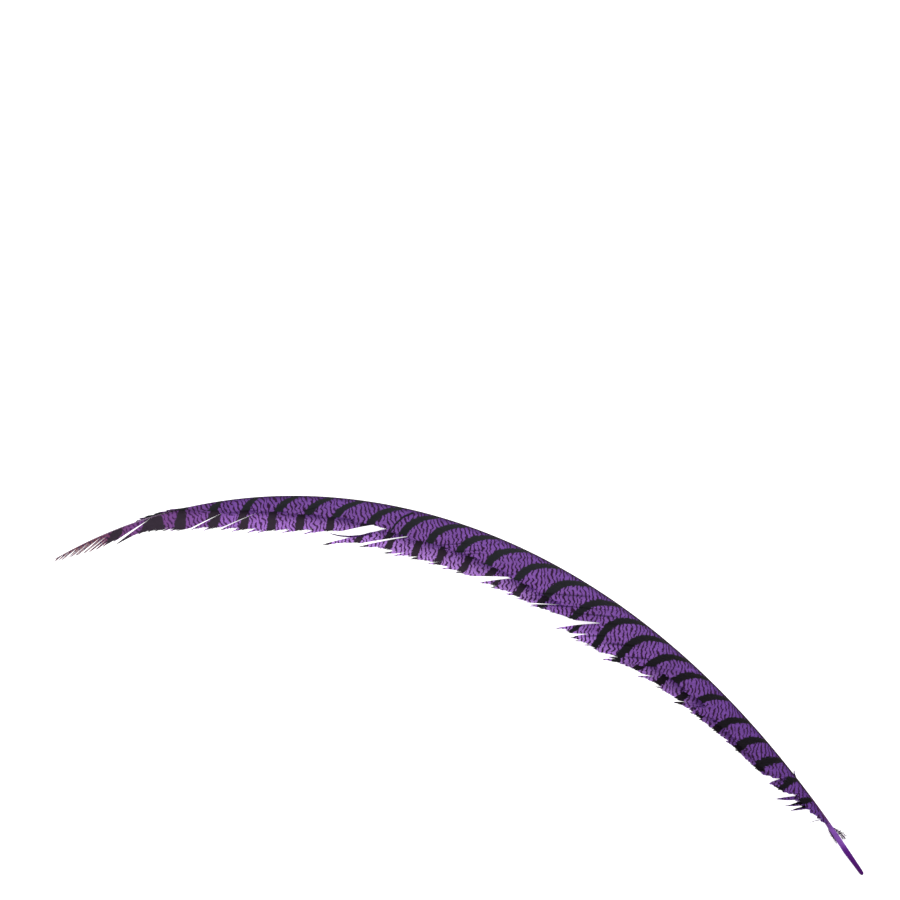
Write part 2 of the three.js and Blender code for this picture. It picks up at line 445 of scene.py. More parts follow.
def lay_strands(name, lines, facing, widths, thickness, attributes):
    """One mesh of copies of the barb on lines (strand, station, xyz), in mm. facing is the web's normal."""
    count = len(lines)
    tangent = unit(np.gradient(lines, axis=1))
    side = unit(np.cross(facing, tangent))
    up = np.cross(tangent, side)
    across = widths[:, barb_ring] * barb_points[:, 1]
    rise = thickness * barb_points[:, 2]
    points = lines[:, barb_ring] + side[:, barb_ring] * across[..., None] + up[:, barb_ring] * rise[:, None]

    starts = np.arange(count) * len(barb_points)
    faces = [[corner + start for corner in face] for start in starts.tolist() for face in barb_faces]
    mesh = bpy.data.meshes.new(name)
    mesh.from_pydata((points.reshape(-1, 3) * MM).tolist(), [], faces)
    mesh.polygons.foreach_set("use_smooth", np.ones(len(faces), dtype=bool))
    lower = np.tile(~barb_face_is_upper, count)
    mesh.polygons.foreach_set("material_index", lower.astype(np.int32))

    for label, values in attributes.items():
        layer = mesh.attributes.new(label, "FLOAT_VECTOR", "POINT")
        layer.data.foreach_set("vector", values[:, barb_ring].astype(np.float32).ravel())

    corner_point = np.concatenate([np.array(face) for face in barb_faces])
    corner_lower = np.repeat(~barb_face_is_upper, [len(face) for face in barb_faces])
    column = np.arange(count)[:, None] + 0.5 + 0.9 * barb_points[corner_point, 1]
    row = COMB_MARGIN + barb_points[corner_point, 0] * (COMB_ROW - 2 * COMB_MARGIN) + COMB_ROW * corner_lower
    comb = np.stack(np.broadcast_arrays(column / count, row), axis=-1)
    mesh.uv_layers.new(name="OFBake").data.foreach_set("uv", comb.astype(np.float32).ravel())

    piece = bpy.data.objects.new(name, mesh)
    bpy.context.collection.objects.link(piece)
    print(f"{name}: {count} strands, {sum(len(face) - 2 for face in barb_faces) * count} triangles")
    return piece


# %% [markdown]
# ## The path of a barb
#
# A barb leaves the shaft at an angle that falls from a wide one at the quill to a very narrow one at the tip,
# and bends a little further forward on its way out. It ends where it meets the edge of its web. How far
# inward a barb ends depends on where it is rooted, and a step in that profile is an edge that runs along a
# barb. The web parts into locks, and the last barb of a lock reaches furthest, so each lock ends in a point.

# %% Paths and edges
ROOT_ANGLES = (
    (35, 62), (45, 55), (65, 46), (125, 37), (185, 30), (215, 27), (305, 22), (405, 18), (460, 16), (485, 17),
    (510, 16), (560, 10),
)
ROOT_FLARE = 6  # degrees more at the very root
ROOT_FLARE_LENGTH = 8
FORWARD_BEND = 3  # degrees less after 60 mm
BARB_SPACING = 0.6
LONGEST_BARB = 90
PATH_STEP = 0.5
PATH_MARKS = np.arange(0, LONGEST_BARB, PATH_STEP)

# (root of a barb, how far inward it ends)
UPPER_REACH = (
    (35, 2), (45, 5.5), (50, 6.5), (55.4, 5), (55.6, 10), (66, 12), (73, 12.8), (87, 14), (109.5, 15),
    (110.5, 19.5), (117, 19), (118, 13.5), (125, 12.8), (127, 14.5), (150.5, 16.3), (151.5, 28),
    (154.3, 31.2), (155, 25.5), (158.5, 26.5), (160.3, 29.2), (164, 29.4), (178.4, 32), (189.4, 31),
    (189.6, 24), (204.6, 27.5), (205, 19.6), (233, 18.8), (254, 17.5), (273, 16.8), (306, 17), (320, 15.5),
    (335, 13.6), (355, 12), (374, 11.6), (395, 9.9), (417, 8), (439, 6.8), (462, 5), (474, 4), (480, 2.2),
    (499, 2), (503, 0.7), (562, 0.3),
)
LOWER_REACH = (
    (35, 2.5), (45, 7.5), (50, 9), (55.4, 6.5), (55.6, 11.6), (62, 14.4), (71, 15.6), (84, 17.3), (98, 19.3),
    (111, 21.5), (119, 23.8), (130, 24), (140, 26), (149, 27.5), (154.5, 28), (155.5, 14), (189.4, 14),
    (189.6, 24), (205, 28), (227, 29.5), (244, 28.5), (276, 29), (285, 29), (302, 27.5), (318, 28.8),
    (319, 11.5), (331, 11.5), (332, 21.5), (344, 22.3), (365, 21.9), (378, 21), (391, 19.5), (408, 17),
    (420, 15.5), (447, 12), (470, 8.8), (484, 7.4), (496, 8.4), (497, 6.2), (509.6, 6.6), (515, 6.4),
    (527, 4.8), (542.5, 3), (557, 0.9),
)


def barb_paths(roots, turn):
    """Along and inward of points PATH_STEP apart on the barbs rooted there, each turned by a few degrees."""
    angle = (
        through(ROOT_ANGLES, roots)[:, None]
        + turn[:, None]
        + ROOT_FLARE * np.exp(-PATH_MARKS / ROOT_FLARE_LENGTH)
        - FORWARD_BEND * np.clip(PATH_MARKS / 60, 0, 1)
    )
    angle = np.radians(angle)
    along = roots[:, None] + np.cumsum(np.cos(angle), axis=1) * PATH_STEP
    inward = np.cumsum(np.sin(angle), axis=1) * PATH_STEP
    return along, inward


def barb_lengths(inward, limit):
    """The length at which each barb has come as far inward as its limit."""
    outside = inward >= limit[:, None]
    outside[:, -1] = True
    return np.maximum(outside.argmax(axis=1), 2) * PATH_STEP


# %% [markdown]
# ## Locks and splits
#
# Where hooks have let go, the web parts. A split is a wedge: it opens from a point in the web to its edge,
# and the barbs on both sides crowd away from it. Locks are the groups between small splits. Near their ends
# the barbs of a lock draw together in bunches, and near the feather's tip, where the barbs have no hooks, in
# thin separate wisps.

# %% Locks and splits
LOCK_NOTCH = 0.1
LOCK_POINT = 2  # the higher, the shorter the point of a lock


def lock_edges(roots, tips):
    """Scale of the reach for each barb: full at the lock's last barb, less towards its first."""
    tips = np.asarray(tips, dtype=float)
    index = np.minimum(np.searchsorted(tips, roots), len(tips) - 1)
    last = tips[index]
    first = np.where(index > 0, tips[index - 1], WEB_START)
    share = np.clip((roots - first) / np.maximum(last - first, 1), 0, 1)
    depth = LOCK_NOTCH * np.clip((last - first) / 12, 0.35, 1)
    return 1 - depth * (1 - share**LOCK_POINT)


def drift(places, spacing, amount):
    """A slow random change along the shaft, with a new chance about every spacing."""
    knots = np.arange(0, SHAFT_LENGTH + 2 * spacing, spacing)
    return np.interp(places, knots, dice.normal(0, amount, len(knots)))


def open_splits(roots, share, splits):
    """How far the barbs shift along the shaft to open the splits."""
    shift = np.zeros_like(share)
    slope = np.sin(np.radians(through(ROOT_ANGLES, roots)))[:, None]
    for root, quill_side, tip_side, opens_at, crowding in splits:
        away = roots - root
        side = np.where(away > 0, tip_side, -quill_side) * np.exp(-np.abs(away) / crowding)
        shift += side[:, None] / slope * np.clip((share - opens_at) / (1 - opens_at), 0, 1)
    return shift


def draw_bunches(roots, share, lock_tips, size, start, pull):
    """The shift that draws barbs of a bunch to its middle, from a share of their reach outwards."""
    edges = [WEB_START]
    while edges[-1] < SHAFT_LENGTH:
        edges.append(edges[-1] + through(size, edges[-1]) * dice.uniform(0.5, 1.5))
    edges = np.unique([*edges, *lock_tips])
    index = np.clip(np.searchsorted(edges, roots), 1, len(edges) - 1)
    middle = (edges[index] + edges[index - 1]) / 2
    begins = through(start, roots)[:, None]
    amount = through(pull, roots)[:, None] * np.clip((share - begins) / (1 - begins), 0, 1)
    return (middle - roots)[:, None] * amount


# %% [markdown]
# ## Markings
#
# Two patterns cross the webs. Broad dark bars curve over them about 20 mm apart, and thin wavy lines, the
# vermiculation, fill the ground between the bars. Both grow inside the barbs, so their coordinates are worked
# out before a split moves the barbs, and they break where the web breaks. The bar coordinate is a number that
# is whole in the middle of each bar. With it goes the room from bar to bar, square to them, in half bar
# widths, because a bar is thinner where it starts at the shaft.

# %% Bar coordinates
UPPER_BARS = (
    53.4, 68.5, 84.2, 99.9, 115.6, 134.7, 152.7, 169, 186.4, 203.3, 221.9, 243.4, 264.3, 284.6, 303.8,
    322.9, 339.8, 361.3, 383.3, 400.8, 419.9, 440.8, 460.6, 479.7, 500, 524,
)
LOWER_BARS = (
    52, 68, 84, 101, 118, 130.7, 146, 162, 177.7, 192.2, 210.3, 229.4, 249.2, 266, 284.6, 302, 318.9, 334.5,
    352.3, 370, 390.3, 408.9, 426.3, 443.7, 461.2, 480.3, 497.2, 520,
)
# How far a bar runs towards the tip on its way inward, the depth over which it does so, and the inward
# distance that the lists above are measured at.
UPPER_BAR_CURVE = {
    "slant": (
        (52, 5), (66, 6), (84, 9.5), (116, 13), (155, 17), (170, 19), (260, 20.5), (330, 19.5), (380, 18),
        (415, 14), (440, 9), (480, 8),
    ),
    "depth": 5.8,
    "measured_at": ((0, 5.8), (600, 5.8)),
}
LOWER_BAR_CURVE = {
    "slant": ((0, 4), (440, 6), (560, 6)),
    "depth": 11.6,
    "measured_at": ((0, 15), (440, 15), (480, 4.4), (600, 4.4)),
}
BAR_HALF_WIDTH = ((0, 0.6), (1.2, 1.1), (5.8, 1.95), (12, 2.4))  # by distance inward
# (distance along, how many times as broad a bar is there)
BAR_BREADTH = (
    (0, 1.4), (75, 1.35), (120, 1), (390, 1), (420, 1.18), (450, 1.18), (478, 1.7), (489, 1.7), (490.5, 4.2),
    (508, 4.2), (512, 3.3),
)
PLAIN_ENDS = 150  # no bar within this distance beyond the first and the last


def bar_coordinates(along, inward, bars, curve):
    slant = through(curve["slant"], along)
    fade = np.exp(-inward / curve["depth"])
    fade_at_measure = np.exp(-through(curve["measured_at"], along) / curve["depth"])
    track = along - slant * (fade_at_measure - fade)
    marks = np.array([bars[0] - PLAIN_ENDS, *bars, bars[-1] + PLAIN_ENDS])
    number = np.interp(track, marks, np.arange(len(marks)))
    below = np.clip(np.searchsorted(marks, track) - 1, 0, len(marks) - 2)
    steepness = np.hypot(1, slant / curve["depth"] * fade)
    half_width = through(BAR_HALF_WIDTH, inward) * through(BAR_BREADTH, along)
    return number, (marks[below + 1] - marks[below]) / steepness / half_width


# %% [markdown]
# ## Building a web
#
# A web is about 870 barbs. Roots are spread evenly along the shaft, each with a little chance in its angle,
# length and height. The height profile then sets the web in space: the lower web is almost flat, and the
# upper one rises from the top of the shaft to a crown and sinks again. A blade's width is half more than the
# distance to the next barb, so that blades overlap as hooked barbs do and the web is closed.

# %% Web builder
ARCH_RISE = ((34, 3), (70, 7), (130, 9.5), (215, 11.5), (290, 11), (370, 9), (440, 6), (500, 2.5), (560, 1))
ARCH_SPAN = 24
ARCH_STEEPNESS = 2.4
ARCH_DROP = 0.22
CLEARANCE = 0.3
BLADE_OVERLAP = 1.5
WIDEST_BLADE = 2.0  # as a multiple of the distance between roots, square to the barbs
LOCK_TURN = 0.05  # degrees by which the barbs of one lock turn together
BARB_TURN = 0.025
BLADE_FILL = ((514, 1), (522, 0.8), (560, 0.6))  # near the tip the blades no longer close the web
BLADE_THICKNESS = 0.1
ROOT_CHANCE = 0.2  # how far a root can be out of place, as a share of the spacing
REACH_CHANCE = 0.012
WAVER = (7, 0.25)  # the barbs rise and sink together by the second about every first
BARB_WAVER = 0.02  # and each by itself


def arch_rise(along, inward):
    reach = np.clip(inward / ARCH_SPAN, 0, 1)
    profile = (1 - (1 - reach) ** ARCH_STEEPNESS) * (1 - ARCH_DROP * reach**2)
    return through(ARCH_RISE, along) * profile


def make_web(name, reach, lock_tips, splits, bunches, bars, curve, lay, shade):
    """A web of barbs.

    lay(roots, along, inward, height noise) gives the final inward and height of its points, and
    shade(roots, along, inward) how much painted shade they get, from 0 to 1.
    """
    roots = np.arange(WEB_START, SHAFT_LENGTH - 3, BARB_SPACING)
    roots = roots + dice.uniform(-ROOT_CHANCE, ROOT_CHANCE, len(roots)) * BARB_SPACING
    lock_turn = dice.normal(0, LOCK_TURN, len(lock_tips) + 1)[np.searchsorted(lock_tips, roots)]
    turn = lock_turn + dice.normal(0, BARB_TURN, len(roots))
    edge = lock_edges(roots, lock_tips) * dice.normal(1, REACH_CHANCE, len(roots))
    path_along, path_inward = barb_paths(roots, turn)
    length = barb_lengths(path_inward, through(reach, roots) * edge)

    on_barb = BARB_MARKS[None, :] * length[:, None]
    along = np.stack([np.interp(v, PATH_MARKS, path) for v, path in zip(on_barb, path_along)])
    inward = np.stack([np.interp(v, PATH_MARKS, path) for v, path in zip(on_barb, path_inward)])

    number, room = bar_coordinates(along, inward, bars, curve)
    share = inward / through(reach, roots)[:, None]
    moved = along + open_splits(roots, share, splits) + draw_bunches(roots, share, lock_tips, **bunches)
    waver = drift(roots, *WAVER) + dice.normal(0, BARB_WAVER, len(roots))
    final_inward, height = lay(roots[:, None], moved, inward, waver[:, None] * BARB_MARKS)
    lines = place(moved, final_inward, height)

    root_angle = np.radians(through(ROOT_ANGLES, roots))
    run = np.cumsum(np.cos(root_angle)) * BARB_SPACING
    apart = np.cumsum(np.sin(root_angle)) * BARB_SPACING
    steps = np.linalg.norm(np.diff(lines, axis=1, prepend=lines[:, :1]), axis=-1)
    on_strand = np.cumsum(steps, axis=1) + run[:, None]
    luck = dice.uniform(0, 1, len(roots))
    sheet = np.ones_like(along)
    attributes = {
        "strand": np.stack([on_strand, sheet * apart[:, None], sheet * luck[:, None]], axis=-1),
        "bars": np.stack([number, room, sheet * 0], axis=-1),
        # the third value of web is the painted shade
        "web": np.stack([along, inward, shade(roots[:, None], along, inward)], axis=-1),
    }

    neighbour = np.gradient(lines, axis=0)
    tangent = unit(np.gradient(lines, axis=1))
    facing = unit(np.cross(tangent, neighbour))
    facing *= np.sign(facing[..., 2:] + 1e-6)
    apart_here = np.linalg.norm(np.cross(tangent, neighbour), axis=-1)
    usual = BARB_SPACING * np.sin(root_angle)[:, None]
    fill = BLADE_OVERLAP * through(BLADE_FILL, roots)[:, None]
    widths = fill * np.clip(apart_here, 0.6 * usual, WIDEST_BLADE * usual)
    return lay_strands(name, lines, facing, widths, BLADE_THICKNESS, attributes)


# %% [markdown]
# ## The lower web
#
# It lies on the floor with its inner face up, and only the strip beyond the upper web's edge shows. Its far
# edge is a row of pointed locks. It thins out from a thumb's width to nothing at the tip, where its barbs are
# separate wisps.

# %% Lower web
LOWER_LOCK_TIPS = (
    37, 43, 46.5, 51, 55.5, 58, 62, 66, 71, 74, 79, 84, 90, 98, 101, 106, 111, 119.5, 130, 139.3, 149, 154,
    189.5, 196, 205, 210, 217, 227, 237, 245, 252, 262, 271, 281, 285, 304, 318, 331, 345, 358, 374.5, 382,
    395, 408, 420, 434.5, 444, 452, 461, 470, 478, 486, 496.2, 509.8, 515.2, 521, 527.2, 534, 542.5, 558,
)
# (root, gap on the quill's side and on the tip's side, share of the barbs where it opens, how far the
# crowding reaches)
BASE_WEDGES = ((55.5, 0.3, 0.3, 0.6, 3), (66, 5.0, 0.2, 0.3, 4))
LONG_WEDGE = (189.5, 5.4, 0.8, 0.5, 11)
LOWER_SPLITS = (
    *BASE_WEDGES, (119.5, 1.2, 0.6, 0.72, 4), (139.3, 0.9, 1.8, 0.74, 4), LONG_WEDGE,
    (205, 0.8, 0.8, 0.55, 8), (237, 3.6, 1.6, 0.5, 12), (245, 0.3, 0.6, 0.88, 4), (262, 0.6, 0.6, 0.82, 4),
    (281, 1.2, 0.6, 0.8, 5), (304, 1.2, 1.2, 0.35, 8), (374.5, 0.5, 0.5, 0.88, 3), (382, 0.5, 0.5, 0.8, 4),
    (408, 0.8, 0.8, 0.42, 8), (434.5, 0.8, 0.8, 0.35, 8), (461, 0.4, 0.4, 0.8, 4), (496.4, 0.1, 2.2, 0, 9),
    (509.8, 0.2, 0.7, 0.5, 3), (515.2, 0.5, 0.6, 0.45, 3), (521, 0.4, 0.4, 0.2, 3),
    (527.2, 0.5, 0.6, 0.15, 3), (534, 0.3, 0.4, 0.2, 3), (542.5, 0.4, 0.4, 0.2, 4),
)
LOWER_BUNCHES = {
    "size": ((34, 3), (55, 3), (60, 2.5), (440, 2.5), (480, 12), (505, 12), (512, 4), (560, 4)),
    "start": (
        (34, 0.3), (53, 0.35), (58, 0.85), (480, 0.85), (510, 0.8), (516, 0.5), (522, 0.1), (560, 0.05),
    ),
    "pull": ((34, 0.85), (53, 0.8), (58, 0.3), (100, 0.2), (510, 0.2), (516, 0.6), (522, 0.75), (560, 0.85)),
}
LOWER_ROOT_HEIGHT = 0.3  # share of the shaft's width
LOWER_LEVEL = 0.3
OVERLAP_SHADOW = 2.5  # how far past the upper web's edge its shadow reaches

# The upper web's edge, which the painted shade on the lower web follows
edge_roots = np.arange(WEB_START, SHAFT_LENGTH - 3, 1.0)
edge_along, edge_inward = barb_paths(edge_roots, np.zeros(len(edge_roots)))
edge_index = (barb_lengths(edge_inward, through(UPPER_REACH, edge_roots)) / PATH_STEP).astype(int)
edge_stations = sorted(
    (edge_along[row, index], edge_inward[row, index]) for row, index in enumerate(edge_index)
)


def painted_shade_under_upper_web(roots, along, inward):
    """Painted shade on the lower web under the upper one, until that stands up, and OVERLAP_SHADOW past its
    edge.
    """
    covered = 1 - smooth(-1.0, OVERLAP_SHADOW, inward - through(edge_stations, along))
    return covered * smooth(60, 130, along) * (1 - smooth(440, 465, along))


def lay_lower(roots, along, inward, waver):
    root_height = LOWER_ROOT_HEIGHT * full_width(roots)
    settle = smooth(0, 8, inward)
    billow = 0.35 * (1 + np.sin(roots / 9.0)) * np.sin(np.clip(inward / 26, 0, 1) * math.pi)
    height = root_height * (1 - settle) + (LOWER_LEVEL + billow) * settle + waver
    root_inward = 0.5 * full_width(roots)
    return root_inward * (1 - smooth(0, 6, inward)) + inward, np.maximum(height, 0.08)


lower_web = make_web(
    "lower_web", LOWER_REACH, LOWER_LOCK_TIPS, LOWER_SPLITS, LOWER_BUNCHES, LOWER_BARS,
    LOWER_BAR_CURVE, lay_lower, painted_shade_under_upper_web,
)

# %% [markdown]
# ## The upper web
#
# It springs from the top of the shaft and arches over the lower web, and its outer face is up. It is
# narrower, apart from one place where a broad lock reaches right across. Near the tip it turns on edge, and
# what shows there is its rim.

# %% Upper web
UPPER_LOCK_TIPS = (
    44, 55.5, 66, 80, 93, 106, 119, 131, 149, 154.3, 160.3, 164, 168, 173.3, 178.4, 189.5, 205, 222, 240, 262,
    281, 304, 322, 345, 366, 390, 412, 434.5, 452, 466, 478, 558,
)
UPPER_SPLITS = (
    *BASE_WEDGES, (154.6, 0.5, 1.0, 0.78, 2.5), (168, 0.4, 0.3, 0.88, 2), (173.5, 0.5, 0.4, 0.88, 2.5),
    (178.8, 2.6, 0.8, 0.7, 5), LONG_WEDGE, (205, 0.8, 0.8, 0.62, 8), (434.5, 0.5, 0.5, 0.8, 6),
)
UPPER_BUNCHES = {
    "size": ((34, 2.5), (440, 2.5), (480, 5), (560, 7)),
    "start": ((34, 0.9), (430, 0.85), (480, 0.5), (560, 0.3)),
    "pull": ((34, 0.3), (430, 0.3), (480, 0.6), (560, 0.7)),
}
# Where it springs from the shaft, inward and up, as shares of the shaft's width
UPPER_ROOT = 0.2
UPPER_ROOT_HEIGHT = 0.88
# Painted shade on the upper web where barbs have parted a little and one would look down between them; the
# barbs themselves are not moved: (root, from inward, to inward, width)
PAINTED_PARTING_SHADE = (
    (157.5, 14, 21, 0.8), (169, 12.5, 22, 1.2), (177, 19, 26, 0.7), (197.5, 7, 16, 1.0),
    (218.5, 6, 18.5, 1.0), (271.5, 12, 16, 0.8), (276, 10, 15, 0.8), (287, 10, 16.5, 0.9),
    (383, 6, 11.5, 0.6), (403, 7, 9.5, 0.6),
)


# Painted shade: how dark the barbs are drawn beside each parting, from 0 to 1
def painted_shade_between_barbs(roots, along, inward):
    depth = np.zeros_like(inward)
    for root, begin, end, width in PAINTED_PARTING_SHADE:
        beside = np.exp(-(((roots - root) / width) ** 2))
        along_gap = smooth(begin - 2, begin + 1, inward) * smooth(end + 2, end - 1, inward)
        depth = np.maximum(depth, beside * along_gap)
    return depth


# Near the tip the web stands up: how much of its width still runs inward
UPPER_LEAN = ((430, 1), (441, 0.8), (455, 0.6), (464, 0.2), (474, -0.2), (481, -0.65), (503, -0.65), (506, 0))


def lay_upper(roots, along, inward, waver):
    root_inward = UPPER_ROOT * full_width(roots)
    lean = through(UPPER_LEAN, roots)
    standing = np.sqrt(1 - lean**2) * inward
    lying = arch_rise(along, inward) + CLEARANCE * smooth(0, 3, inward)
    height = lying + (standing - lying) * smooth(430, 476, roots)
    return root_inward + inward * lean, UPPER_ROOT_HEIGHT * full_width(roots) + height + waver


upper_web = make_web(
    "upper_web", UPPER_REACH, UPPER_LOCK_TIPS, UPPER_SPLITS, UPPER_BUNCHES, UPPER_BARS,
    UPPER_BAR_CURVE, lay_upper, painted_shade_between_barbs,
)

# %% [markdown]
# A few barbs have come loose and lie across the others, and at the start of the web some have drawn together
# in wisps. The first in the list, a black strip on top of the upper web, is painted shadow: it stands for the
# shade in a split that has opened there. Each follows its own points, on top of the upper web or low down,
# and is black, dark or dyed.

# %% Loose barbs
# (points along and inward, width, whether it lies on the upper web, colour)
LOOSE_BARBS_AND_SHADOW_STRIP = (
    # painted shadow: this black strip on top of the upper web stands for the shade in an opened split
    (((342.5, 1.7), (347, 4.6), (351, 9.9), (353, 15), (355, 19.5)), 1.1, True, "black"),
    (((364, 18), (371, 20.5), (377.5, 21.8), (383.5, 22), (388, 21.5), (390.5, 20.9)), 1.1, False, "dark"),
    (((37.5, 3.2), (38.6, 5.5), (39.5, 8), (39.9, 10.5)), 0.4, False, "dark"),
    (((65.5, 0.6), (68.5, -0.5), (70.3, -1.7)), 0.8, False, "dark"),
    # Three wisps at the start of the web, each a few barbs that meet at their tips
    (((54.5, 6.0), (58.6, 12.0), (63.3, 17.3)), 0.8, False, "dyed"),
    (((55.9, 6.5), (59.6, 12.3), (63.3, 17.3)), 1.1, False, "dyed"),
    (((57.4, 7.6), (60.6, 12.8), (63.3, 17.3)), 0.8, False, "dyed"),
    (((49.6, 4.5), (53.3, 10.6), (56.9, 15.6)), 0.9, False, "dyed"),
    (((50.4, 4.5), (53.6, 10.0), (55.9, 13.8)), 0.75, False, "black"),
    (((51.6, 5.0), (53.9, 9.2), (55.1, 12.0)), 0.7, False, "black"),
    (((46.8, 4.0), (49.7, 9.6), (52.6, 14.7)), 0.9, False, "dyed"),
    (((47.8, 4.2), (50.3, 9.0), (52.0, 12.8)), 0.8, False, "black"),
)
LOOSE_BARB_INWARD = {"black": 0, "dark": 0, "dyed": 9}  # its ground is the web's this far inward
LOOSE_BARB_LEVEL = 1.2  # height of one that lies low
LOOSE_BARB_RISE = 0.4  # height of one on top, above the upper web


def make_loose_barbs(name):
    lines, widths, strand, bars, web = [], [], [], [], []
    for points, width, on_top, colour in LOOSE_BARBS_AND_SHADOW_STRIP:
        points = np.array(points, dtype=float)
        run = np.concatenate([[0], np.cumsum(np.linalg.norm(np.diff(points, axis=0), axis=1))])
        marks = BARB_MARKS * run[-1]
        along, inward = (np.interp(marks, run, column) for column in points.T)
        top = full_width(along) + CLEARANCE + arch_rise(along, inward) + LOOSE_BARB_RISE
        lines.append(place(along, inward, top if on_top else LOOSE_BARB_LEVEL))
        widths.append(width * (1 - 0.6 * BARB_MARKS**3))
        sheet = np.ones_like(along)
        strand.append(np.stack([marks + run[-1] * 7, sheet * run[-1], sheet * 0.5], axis=-1))
        bars.append(np.stack([sheet * (0 if colour == "black" else 0.5), sheet * 10, sheet * 0], axis=-1))
        web.append(np.stack([along, sheet * LOOSE_BARB_INWARD[colour], sheet * 0], axis=-1))
    lines = np.stack(lines)
    facing = np.broadcast_to((0.0, 0.0, 1.0), lines.shape)
    attributes = {"strand": np.stack(strand), "bars": np.stack(bars), "web": np.stack(web)}
    return lay_strands(name, lines, facing, np.stack(widths), BLADE_THICKNESS, attributes)


loose_barbs = make_loose_barbs("loose_barbs")

# %% [markdown]
# ## The dyed web
#
# A barb is keratin with melanin in it. The pale ground takes the violet dye, and the melanin stays dark:
# almost black in the bars, and brown-black in the fine lines. Further along the shaft the bars turn a cool
# slate, which is partly the melanin's colour and partly painted sheen. Real vermiculation is neither regular
# nor random. So the lines come from a wave along the barbs with a period of about 2.5 mm, bent by one noise,
# and broken and joined by another that is drawn out across the barbs. Each barb's own random value makes fine
# streaks along the web. The two faces of a web share this recipe with other colours, because the outer face
# is darker and more saturated.

# %% Web material
LINE_PERIOD = 2.45
LINE_LEVELS = (2.02, 2.4)  # the broken wave is ground below the first and line above the second
BEND_SIZE = (7, 3.6)  # size of the bends in the lines, along and across the barbs
BEND = 5
BREAK_SIZE = (1.5, 2.6)
BREAK_STRENGTH = 3.6
BARB_SHIFT = 0.35  # how far a line can jump from one barb to the next
BAR_FRAY = 0.8  # how far the noise and each barb move a bar's edge, in half bar widths
BAR_JAG = 0.18
BAR_EDGE = (0.58, 0.8)  # a bar fades out between these
BARB_GROUP = 1.1  # neighbouring barbs that took up the dye alike, in mm
DYE_PATCH = 12.0
BARB_LUCK = 0.35
DYE_NOISE = {"From Min": 0.7, "From Max": 1.65, "To Min": 0.78, "To Max": 1.22}  # from noise to brightness
SHADOW_DEPTH = 0.75

# Each face's 'shadow' is the colour of its painted shade
OUTER_FACE = {
    "root": "40245C", "ground": "6E4592", "middle": "784D99", "far": "8052A3", "edge": "A878CC",
    "line": "2E1434", "first bars": "100C12", "bar": "1E1F23", "base": "4C2672", "late": "623A6E",
    "wisp": "74404E", "shadow": "2C1A3C",
}
INNER_FACE = {
    "root": "6E4591", "ground": "8A58B6", "middle": "9A68BE", "far": "AE7AD2", "edge": "C290E2",
    "line": "482652", "first bars": "1E161F", "bar": "362C38", "base": "5E3488", "late": "7E4C8C",
    "wisp": "74404E", "shadow": "9270B0",
}
# (distance inward, colour)
GROUND_STOPS = ((0, "root"), (2.5, "ground"), (11, "middle"), (20, "far"), (28, "edge"))
# The bars go from 'first bars', blackest near the quill, to 'bar', a paler cool slate further along: partly
# the melanin's colour and partly painted sheen
BARS_PALE_OVER = (160.0, 270.0)  # the bars near the quill are the blackest
# Stretches of the web with a colour of their own: (colour, from, to, share of it up to there and from there)
WEB_ZONES = (
    ("base", 110.0, 200.0, 0.45, 0.0), ("late", 450.0, 490.0, 0.0, 0.9), ("wisp", 505.0, 532.0, 0.0, 1.0),
)


